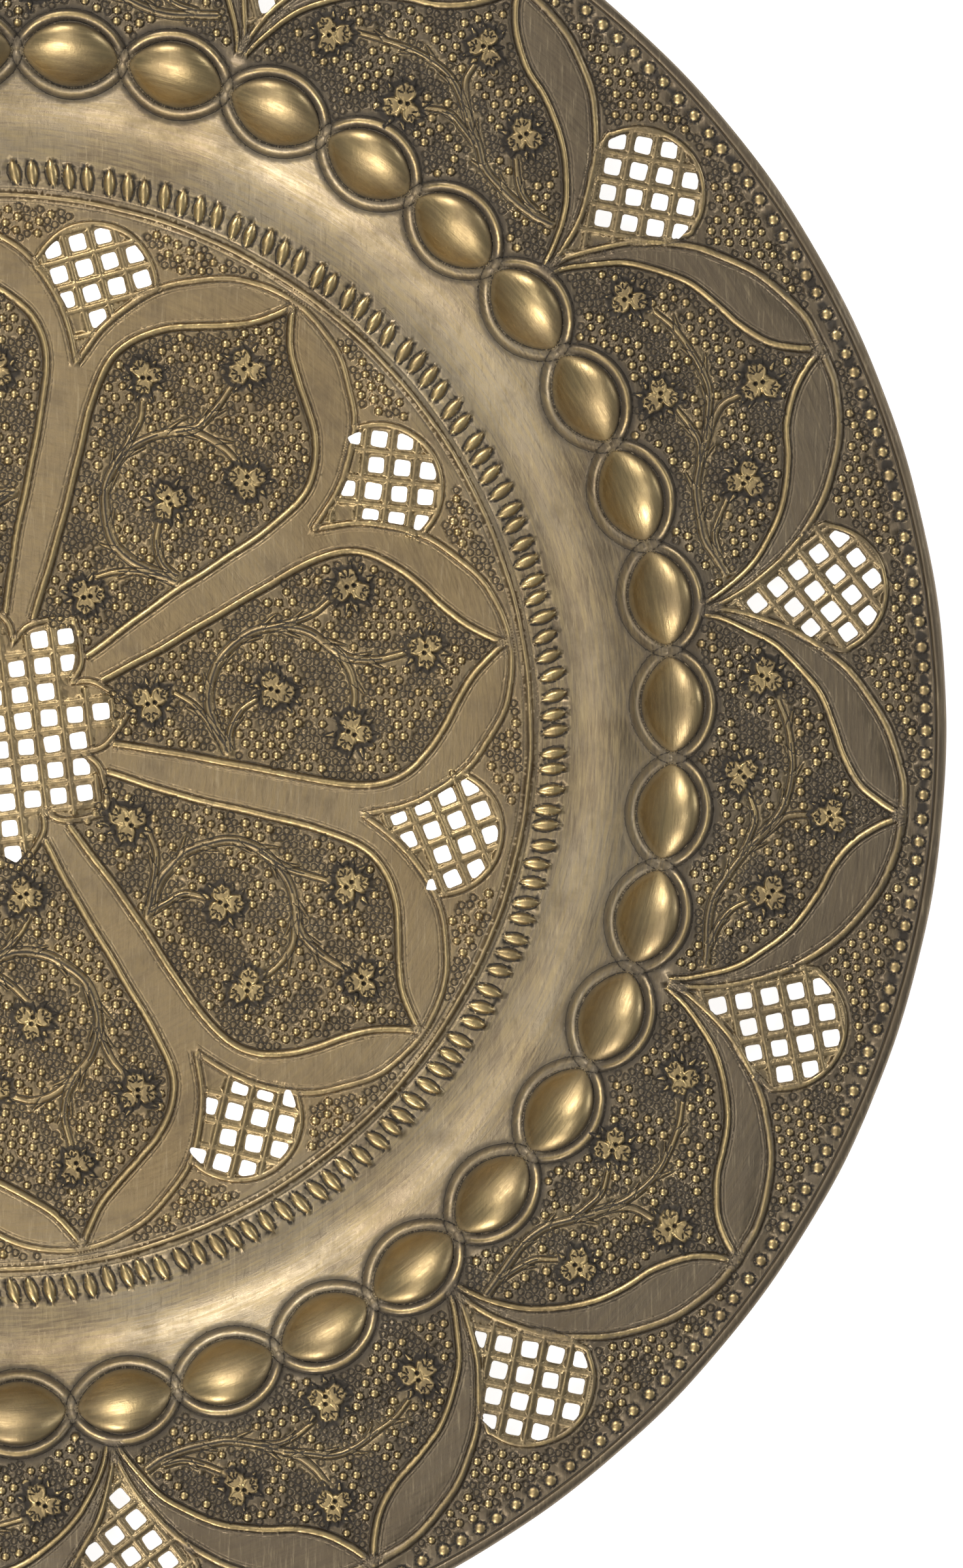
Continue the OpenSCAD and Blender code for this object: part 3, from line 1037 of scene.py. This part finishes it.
def make_mesh(name, co, tris, corner_normals, marks, material):
    """Makes a piece of the sheet, and says what it stands for in the frame."""
    mesh = bpy.data.meshes.new(name)
    mesh.vertices.add(len(co))
    mesh.vertices.foreach_set("co", (co * MM).astype(np.float32).ravel())
    mesh.loops.add(len(tris) * 3)
    mesh.loops.foreach_set("vertex_index", tris.astype(np.int32).ravel())
    mesh.polygons.add(len(tris))
    mesh.polygons.foreach_set("loop_start", np.arange(0, len(tris) * 3, 3, dtype=np.int32))
    mesh.polygons.foreach_set("loop_total", np.full(len(tris), 3, dtype=np.int32))
    mesh.update(calc_edges=True)
    for key, values in marks.items():
        attribute = mesh.attributes.new(key, "FLOAT_COLOR", "POINT")
        attribute.data.foreach_set("color", values.astype(np.float32).ravel())
    mesh.polygons.foreach_set("use_smooth", np.ones(len(tris), bool))
    mesh.normals_split_custom_set(corner_normals.astype(np.float32))
    piece = bpy.data.objects.new(name, mesh)
    bpy.context.scene.collection.objects.link(piece)
    mesh.materials.append(material)
    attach(piece, "root")
    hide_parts("tray_sheet")


def marks_at(x, y, under=False):
    """Crest, hollow, black and bright, each 0 to 1."""
    h = relief_at(x, y)
    mid = level.at(x, y)
    # Crest lightens what stands above its surroundings: rubbed wear and a painted highlight.
    crest = clip01((h - mid) / 0.5)
    carved = clip01((cut.at(x, y) - 0.05) / 0.2)
    # Hollow darkens engraved lines and low spots by how deep they lie: painted shade, with black
    # polish.
    hollow = np.maximum(carved, 0.36 * clip01((mid - h - 0.11) / 0.3))
    black = clip01(dark.at(x, y))
    # Bright is rubbed gold, with painted highlights on the domes' tops.
    bright = clip01(gold.at(x, y))
    sunk = clip01(ground.at(x, y) / 0.5)
    if under:
        crest, bright, hollow = crest * 0, bright * 0, hollow * 0.3
    one = np.ones(len(x))
    return {"wear_and_painted_light": np.column_stack([crest, hollow, black, one]),
            "tone": np.column_stack([bright, sunk, np.full(len(x), float(under)), one])}


def hole_walls(which, xy, top_loops, low_loops):
    """The sawn faces of the holes, from the top face's vertices down to the underside's."""
    tris, corner_normals = [], []
    for h, up, down in zip(which, top_loops, low_loops):
        down = down + len(xy)
        next_up, next_down = np.roll(up, -1), np.roll(down, -1)
        tris += [np.column_stack([up, next_down, down]), np.column_stack([up, next_up, next_down])]
        inward = unit(hole_centre[h] - xy[up])
        here = np.column_stack([inward, np.full(len(inward), 0.15)])
        after = np.roll(here, -1, axis=0)
        corner_normals += [np.stack([here, after, here], 1), np.stack([here, after, after], 1)]
    return tris, corner_normals


def sheet_piece(name, outline, where, material):
    """One piece of the sheet: its worked face, its underside and its holes' walls."""
    low_corner, high_corner = outline.min(0) - 1, outline.max(0) + 1
    mine = np.flatnonzero(where(hole_centre, 0.0))

    def mesh(points):
        near = points[((points > low_corner) & (points < high_corner)).all(1)]
        near = near[where(near, FINE_GAP)]
        return triangulate(outline, near, mine, lambda c: where(c, 0.0))

    top_xy, top_tris, top_loops = mesh(fine)
    low_xy, low_tris, low_loops = mesh(rough)
    top_z = top_at(*top_xy.T)
    for ids in top_loops:
        top_z[ids] -= 0.1
    low_z = np.minimum(bottom_at(*low_xy.T), top_at(*low_xy.T) - LEAST_SHEET)
    co = np.vstack([np.column_stack([top_xy, top_z]),
                    np.column_stack([low_xy, np.maximum(low_z, 0)])])
    low_tris = low_tris[:, ::-1]
    wall_tris, wall_normals = hole_walls(mine, top_xy, top_loops, low_loops)
    tris = np.vstack([top_tris, low_tris + len(top_xy)] + wall_tris)
    corner = np.vstack([slope_normals(top_at, *top_xy.T, 0.13)[top_tris],
                        -slope_normals(bottom_at, *low_xy.T, 0.4)[low_tris]] + wall_normals)
    marks_top, marks_low = marks_at(*top_xy.T), marks_at(*low_xy.T, under=True)
    marks = {key: np.vstack([marks_top[key], marks_low[key]]) for key in marks_top}
    whole = (tris[:, 0] != tris[:, 1]) & (tris[:, 1] != tris[:, 2]) & (tris[:, 2] != tris[:, 0])
    make_mesh(name, co, tris[whole], corner[whole].reshape(-1, 3), marks, material)


def between(a, a0, a1, slack):
    span = (a1 - a0) % 360
    rel = (a - a0) % 360
    return (rel > slack) & (rel < span - slack)


def build_sheet(material):
    """The whole sheet but its rolled edge, parted along petal axes and plain circles."""
    outline = arc_points(RIM_A, ROSETTE_EDGE, MEDAL_CUTS[0], MEDAL_CUTS[0])
    sheet_piece("rosette", outline, lambda p, s: np.hypot(*p.T) < ROSETTE_EDGE - s, material)

    def ring_piece(name, rim_in, r_in, rim_out, r_out, a0, a1):
        inner = arc_points(rim_in, r_in, a0, a1)
        outer = arc_points(rim_out, r_out, a0, a1)
        outline = np.vstack([outer, radial_points(a1, r_in, r_out)[::-1],
                             inner[::-1], radial_points(a0, r_in, r_out)])

        def where(p, s):
            r = np.hypot(*p.T)
            slack = np.degrees(s / np.maximum(r, 1))
            ang = np.degrees(np.arctan2(p[:, 1], p[:, 0]))
            return (r > r_in + s) & (r < r_out - s) & between(ang, a0, a1, slack)

        sheet_piece(name, outline, where, material)

    for k in range(MEDAL_N):
        ring_piece(f"medallion_{k + 1}", RIM_A, ROSETTE_EDGE, RIM_B, MEDAL_EDGE,
                   MEDAL_CUTS[k], MEDAL_CUTS[(k + 1) % MEDAL_N])
    for k in range(BORDER_N):
        ring_piece(f"border_{k + 1}", RIM_B, MEDAL_EDGE, RIM_C, BORDER_EDGE,
                   BORDER_CUTS[k], BORDER_CUTS[(k + 1) % BORDER_N])


def round_the_wire(radius, a0, a1, count):
    t = np.radians(np.linspace(a0, a1, count))
    return np.column_stack([ROLL_X + radius * np.cos(t), ROLL_Z + radius * np.sin(t)])


def roll_section():
    """The rolled edge cut across: up from the border, over the outside and back along the wire."""
    lip = [(BORDER_EDGE, BORDER_Z + SHEET),
           (BORDER_EDGE + 0.35, BORDER_Z + SHEET + 0.1),
           (BORDER_EDGE + 0.7, BORDER_Z + SHEET + 0.55)]
    outer_face = round_the_wire(ROLL_R, 104, -152, 20)
    inner_face = round_the_wire(WIRE_R + WIRE_PLAY, -154, 150, 14)
    return np.vstack([lip, outer_face, inner_face, [(BORDER_EDGE, BORDER_Z)]])


def section_normals(section):
    run = np.diff(section, axis=0)
    n = unit(np.column_stack([-run[:, 1], run[:, 0]]))
    n = unit(np.vstack([n[:1], n[:-1] + n[1:], n[-1:]]))
    n[0] = (0, 1)
    return n


def build_roll(material):
    """The edge of the sheet, rolled over the wire and closed against the border's underside."""
    a = np.radians(RIM_C)
    cos, sin = np.cos(a)[:, None], np.sin(a)[:, None]
    section = roll_section()
    n, m = len(a), len(section)
    uneven = 0.12 * np.sin(17 * a) * np.sin(5 * a + 1) + 0.08 * np.sin(41 * a + 2) - 0.2
    outward = clip01((section[:, 0] - ROLL_X) / ROLL_R)
    r = section[:, 0][None, :] + uneven[:, None] * outward[None, :]
    x, y = r * cos, r * sin
    z = np.broadcast_to(section[:, 1], (n, m)).copy()
    z[:, 0] = top_at(x[:, 0], y[:, 0])
    z[:, -1] = bottom_at(x[:, -1], y[:, -1])
    co = np.column_stack([x.ravel(), y.ravel(), z.ravel()])
    i, j = np.meshgrid(np.arange(n), np.arange(m - 1), indexing="ij")
    p, q = (i * m + j).ravel(), ((i + 1) % n * m + j).ravel()
    tris = np.vstack([np.column_stack([p, p + 1, q + 1]), np.column_stack([p, q + 1, q])])
    flat = section_normals(section)
    normal = np.stack([flat[:, 0] * cos, flat[:, 0] * sin, np.broadcast_to(flat[:, 1], (n, m))], -1)

    def round_the_rim(values):
        return np.broadcast_to(values, (n, m)).ravel().astype(float)

    # The roll's top gets the crest's rubbed wear and painted highlight.
    crest = round_the_rim(clip01(section[:, 1] - (TOP - 0.6)) * 0.5)
    # The crease at the roll's lip is blackened: painted shade, with black polish.
    hollow = round_the_rim((np.arange(m) == 1) * 0.9)
    under = round_the_rim(section[:, 1] < ROLL_Z)
    none, one = np.zeros(n * m), np.ones(n * m)
    marks = {"wear_and_painted_light": np.column_stack([crest, hollow, under * 0.3, one]),
             "tone": np.column_stack([none, none, under, one])}
    make_mesh("rolled_edge", co, tris, normal.reshape(-1, 3)[tris.ravel()], marks, material)


# ---------------------------------------------------------------- materials
class Nodes:
    """Short names for building a node tree."""

    def __init__(self, material):
        material.use_nodes = True
        self.tree = material.node_tree
        self.bsdf = self.tree.nodes["Principled BSDF"]

    def new(self, kind):
        return self.tree.nodes.new("ShaderNode" + kind)

    def link(self, a, b):
        self.tree.links.new(a, b)

    def put(self, socket, value):
        if hasattr(value, "is_output"):
            self.link(value, socket)
        else:
            socket.default_value = value

    def math(self, op, a, b=0.5, clamp=False):
        n = self.new("Math")
        n.operation, n.use_clamp = op, clamp
        self.put(n.inputs[0], a)
        self.put(n.inputs[1], b)
        return n.outputs[0]

    def times(self, a, b):
        return self.math("MULTIPLY", a, b)

    def plus(self, a, b):
        return self.math("ADD", a, b)

    def mix(self, factor, a, b):
        n = self.new("Mix")
        n.data_type = "RGBA"
        self.put(n.inputs[0], factor)
        self.put(n.inputs[6], a)
        self.put(n.inputs[7], b)
        return n.outputs[2]

    def attribute(self, name):
        n = self.new("Attribute")
        n.attribute_name = name
        s = self.new("SeparateColor")
        self.link(n.outputs["Color"], s.inputs[0])
        return s.outputs[0], s.outputs[1], s.outputs[2]

    def noise(self, where, scale, detail=3.0, rough=0.55):
        n = self.new("TexNoise")
        self.link(where, n.inputs["Vector"])
        n.inputs["Scale"].default_value = scale
        n.inputs["Detail"].default_value = detail
        n.inputs["Roughness"].default_value = rough
        return n.outputs["Fac"]

    def ramp(self, value, lo, hi, a=0.0, b=1.0):
        n = self.new("MapRange")
        n.interpolation_type = "SMOOTHSTEP"
        self.put(n.inputs[0], value)
        for i, v in enumerate((lo, hi, a, b)):
            n.inputs[i + 1].default_value = v
        return n.outputs[0]

    def position(self):
        n = self.new("TexCoord")
        return n.outputs["Object"]

    def distance(self, where):
        s = self.new("SeparateXYZ")
        self.link(where, s.inputs[0])
        x, y, _ = s.outputs
        squares = self.plus(self.times(x, x), self.times(y, y))
        return self.math("SQRT", squares)

    def stretched(self, where, scale, turn):
        n = self.new("Mapping")
        n.inputs["Rotation"].default_value = (0, 0, turn)
        n.inputs["Scale"].default_value = scale
        self.link(where, n.inputs["Vector"])
        return n.outputs[0]

    def round_the_tray(self, where):
        """Distance along and across the turning marks, as a vector for stretched noise."""
        s = self.new("SeparateXYZ")
        self.link(where, s.inputs[0])
        x, y, _ = s.outputs
        r = self.distance(where)
        safe_r = self.plus(r, 0.001)
        c = self.new("CombineXYZ")
        self.link(self.times(r, 70.0), c.inputs[0])
        self.link(self.math("DIVIDE", x, safe_r), c.inputs[1])
        self.link(self.math("DIVIDE", y, safe_r), c.inputs[2])
        return c.outputs[0]


# The colours of old brass, of its painted shade and highlights, and of the wire
TARNISH_BROWN = (0.20, 0.150, 0.094, 1)
TARNISH_GREY = (0.30, 0.25, 0.175, 1)
STREAK_PALE = (0.34, 0.265, 0.145, 1)
STREAK_DARK = (0.16, 0.118, 0.072, 1)
MEDALLION_TINT = (0.265, 0.188, 0.095, 1)
BORDER_TINT = (0.128, 0.101, 0.071, 1)
BLOTCH_DARK = (0.12, 0.092, 0.062, 1)
SCRATCH_PALE = (0.46, 0.37, 0.23, 1)
SCRATCH_DARK = (0.10, 0.076, 0.050, 1)
HIGHLIGHT_AND_RUBBED_GOLD = (0.48, 0.355, 0.165, 1)
HIGHLIGHT_AND_RUBBED_BROWN = (0.30, 0.22, 0.11, 1)
SUNK_GROUND = (0.100, 0.080, 0.054, 1)
POLISH_AND_SHADE_BLACK = (0.018, 0.014, 0.010, 1)
UNDERSIDE = (0.22, 0.17, 0.10, 1)
WIRE_CLEAN = (0.36, 0.29, 0.18, 1)
WIRE_STAINED = (0.13, 0.10, 0.07, 1)


MEDALLION_FADE = (0.150, 0.172)           # metres from the axis over which each zone's tint
BORDER_FADE = (0.190, 0.225)              # fades out, or in


def tarnish_layers(n, far, clouds, blotch, scratch, streak):
    """The dull film: clouds, turning marks, the two zones' tints, blotches and scratches."""
    layers = [(n.ramp(clouds, 0.35, 0.65), TARNISH_GREY),
              (n.ramp(streak, 0.40, 0.66, 0, 0.8), STREAK_PALE),
              (n.ramp(streak, 0.30, 0.46, 0.55, 0.0), STREAK_DARK),
              (n.times(n.ramp(far, *MEDALLION_FADE, 1.0, 0.0), 0.6), MEDALLION_TINT),
              (n.times(n.ramp(far, *BORDER_FADE), 0.8), BORDER_TINT),
              (n.ramp(blotch, 0.45, 0.75, 0, 0.5), BLOTCH_DARK),
              (n.ramp(scratch, 0.52, 0.75, 0, 0.4), SCRATCH_PALE),
              (n.ramp(scratch, 0.28, 0.45, 0.35, 0), SCRATCH_DARK)]
    colour = TARNISH_BROWN
    for amount, layer in layers:
        colour = n.mix(amount, colour, layer)
    return colour


def brass():
    """Old brass: grey-brown tarnish, black polish and painted shade in the hollows, rubbed gold and
    painted highlights on what stands proud.
    """
    m = bpy.data.materials.new("aged_brass")
    n = Nodes(m)
    crest, hollow, black = n.attribute("wear_and_painted_light")
    bright, sunk, under = n.attribute("tone")
    where = n.position()
    clouds = n.noise(where, 14, 4, 0.6)
    blotch = n.noise(where, 55, 5, 0.65)
    grain = n.noise(where, 900, 3, 0.6)
    scratch = n.noise(n.stretched(where, (1100, 90, 900), -0.6), 1.0, 4, 0.7)
    streak = n.noise(n.round_the_tray(where), 16, 5, 0.7)
    tarnish = tarnish_layers(n, n.distance(where), clouds, blotch, scratch, streak)
    # Rubbed gold, together with painted highlights, on crests, dome tops and what stands proud.
    rubbed_and_highlight = n.mix(n.ramp(blotch, 0.35, 0.7), HIGHLIGHT_AND_RUBBED_GOLD, HIGHLIGHT_AND_RUBBED_BROWN)
    crest_wear_and_highlight = n.times(n.ramp(crest, 0.25, 1.0), n.ramp(blotch, 0.2, 0.6, 0.5, 0.9))
    wear_and_painted_light = n.math("MAXIMUM", crest_wear_and_highlight, n.times(bright, 0.9))
    colour = n.mix(n.ramp(sunk, 0, 1, 0, 0.42), tarnish, SUNK_GROUND)
    colour = n.mix(n.ramp(wear_and_painted_light, 0.1, 0.85), colour, rubbed_and_highlight)
    rubbed_off = n.times(n.math("MAXIMUM", crest, bright), 0.85)
    left_black = n.times(n.ramp(black, 0.05, 0.65), n.math("SUBTRACT", 1.0, rubbed_off))
    # Black polish left in the relief, and painted shade in its hollows and engraved lines.
    polish_and_shade = n.math("MAXIMUM", n.ramp(hollow, 0.12, 0.8), left_black)
    polish_and_shade = n.math("MULTIPLY", polish_and_shade, n.ramp(blotch, 0.1, 0.55, 0.7, 1.0), clamp=True)
    colour = n.mix(n.times(polish_and_shade, 0.93), colour, POLISH_AND_SHADE_BLACK)
    colour = n.mix(n.times(under, 0.5), colour, UNDERSIDE)
    n.link(colour, n.bsdf.inputs["Base Color"])
    metal = n.math("SUBTRACT", 1.0, n.times(polish_and_shade, 0.85))
    n.link(metal, n.bsdf.inputs["Metallic"])
    rough = n.plus(0.37, n.times(n.ramp(blotch, 0.3, 0.7), 0.12))
    rough = n.plus(rough, n.times(n.ramp(streak, 0.35, 0.65), 0.10))
    rough = n.plus(rough, n.times(polish_and_shade, 0.35))
    rough = n.math("SUBTRACT", rough, n.times(wear_and_painted_light, 0.13), clamp=True)
    n.link(rough, n.bsdf.inputs["Roughness"])
    bump = n.new("Bump")
    bump.inputs["Strength"].default_value = 0.35
    bump.inputs["Distance"].default_value = 0.0002
    fine_marks = n.plus(n.times(grain, 0.35), n.times(scratch, 0.5))
    broad_marks = n.plus(n.times(streak, 0.8), n.times(blotch, 0.6))
    height = n.plus(fine_marks, broad_marks)
    n.link(height, bump.inputs["Height"])
    n.link(bump.outputs[0], n.bsdf.inputs["Normal"])
    return m


def wire():
    """The dull drawn wire that shows only in the slit under the rolled edge."""
    m = bpy.data.materials.new("drawn_wire")
    n = Nodes(m)
    where = n.position()
    spots = n.noise(where, 220, 4, 0.6)
    colour = n.mix(n.ramp(spots, 0.35, 0.7), WIRE_CLEAN, WIRE_STAINED)
    n.link(colour, n.bsdf.inputs["Base Color"])
    n.bsdf.inputs["Metallic"].default_value = 1.0
    n.link(n.ramp(spots, 0.3, 0.7, 0.35, 0.6), n.bsdf.inputs["Roughness"])
    return m


brass_material = brass()
build_sheet(brass_material)
build_roll(brass_material)
rim_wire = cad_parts["rim_wire"]
rim_wire.data.materials.clear()
rim_wire.data.materials.append(wire())


# ---------------------------------------------------------------- stage, lights, camera
FLOOR_Z = -0.0004                         # metres: just under the tray, so that the two don't flicker


def pale_floor():
    bpy.ops.mesh.primitive_plane_add(size=12, location=(0, 0, FLOOR_Z))
    floor = bpy.context.object
    floor.name = "floor"
    m = bpy.data.materials.new("pale_floor")
    n = Nodes(m)
    n.bsdf.inputs["Base Color"].default_value = (0.85, 0.85, 0.85, 1)
    n.bsdf.inputs["Roughness"].default_value = 0.9
    n.bsdf.inputs["Emission Color"].default_value = (1, 1, 1, 1)
    n.bsdf.inputs["Emission Strength"].default_value = 0.85
    floor.data.materials.append(m)


def softbox(name, place, target, size, power, tint):
    light = bpy.data.lights.new(name, "AREA")
    light.shape = "RECTANGLE"
    light.size, light.size_y = size
    light.energy, light.color = power, tint
    lamp = bpy.data.objects.new(name, light)
    lamp.location = place
    aim = Vector(target) - Vector(place)
    lamp.rotation_euler = aim.to_track_quat("-Z", "Y").to_euler()
    bpy.context.scene.collection.objects.link(lamp)


def studio():
    """A faint cool room, two windows on the tray's left, and softer light from above and the right."""
    world = bpy.data.worlds.new("studio")
    bpy.context.scene.world = world
    world.use_nodes = True
    back = world.node_tree.nodes["Background"]
    back.inputs["Color"].default_value = (0.80, 0.85, 0.92, 1)
    back.inputs["Strength"].default_value = 0.36
    softbox("overhead", (-0.85, -0.35, 3.4), (0.05, 0, 0), (0.9, 0.7), 16, (1, 0.98, 0.95))
    softbox("window_top", (-0.9, 1.65, 2.0), (0.1, 0, 0), (0.75, 0.36), 46, (1, 0.96, 0.90))
    softbox("window_low", (-0.95, -1.75, 1.8), (0.1, 0, 0), (0.7, 0.34), 42, (1, 0.95, 0.88))
    softbox("side", (2.3, 0.9, 1.5), (0, 0, 0), (0.6, 1.0), 14, (0.95, 0.97, 1))


VIEW_CENTRE = (148.896 * K, -15.84 * K)   # where the camera looks, so that the tray's left is cut off
VIEW_TALL = 475.2 * K                     # how much of the border's plane the frame's height takes in
VIEW_AWAY = 3000


def photo_camera():
    """Straight down, and far enough off to show the wall without a slant."""
    data = bpy.data.cameras.new("camera")
    data.sensor_width = 36
    data.lens = data.sensor_width * VIEW_AWAY / VIEW_TALL
    data.clip_end = 50
    camera = bpy.data.objects.new("camera", data)
    camera.location = Vector((*VIEW_CENTRE, BORDER_Z + VIEW_AWAY)) * MM
    bpy.context.scene.collection.objects.link(camera)
    bpy.context.scene.camera = camera


pale_floor()
studio()
photo_camera()
bpy.context.scene.view_settings.view_transform = "Standard"
